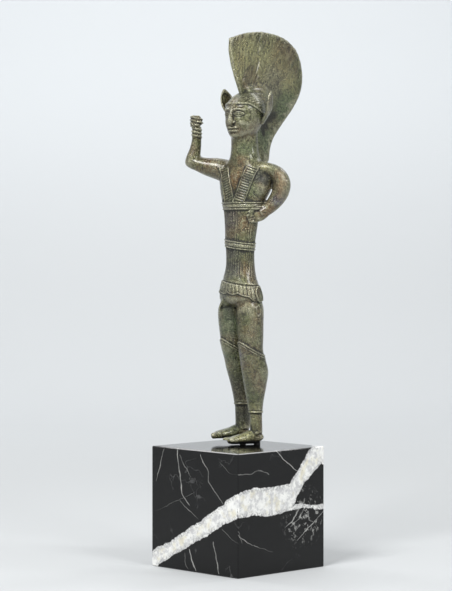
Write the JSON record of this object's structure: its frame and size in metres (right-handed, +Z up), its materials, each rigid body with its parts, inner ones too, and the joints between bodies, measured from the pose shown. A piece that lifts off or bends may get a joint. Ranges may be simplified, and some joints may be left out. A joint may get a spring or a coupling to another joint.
{
  "type": "warrior statuette",
  "caption": "Slender cast bronze votive warrior with a tall crest, one arm raised and one hand on the waist, standing on a veined black marble cube.",
  "frame": {"origin": "centre of the plinth's underside", "axes": "+Z up, the figure's hips and head face -Y, its raised right arm is on the -X side"},
  "size_m": [0.0898, 0.1171, 0.3584],
  "materials": {
    "bronze": "polished olive-brown patina with green and copper-brown patches",
    "marble": "polished black marble with white veins"
  },
  "bodies": {
    "root": {"warrior_figure": "bronze", "marble_plinth": "marble"}
  },
  "joints": []
}
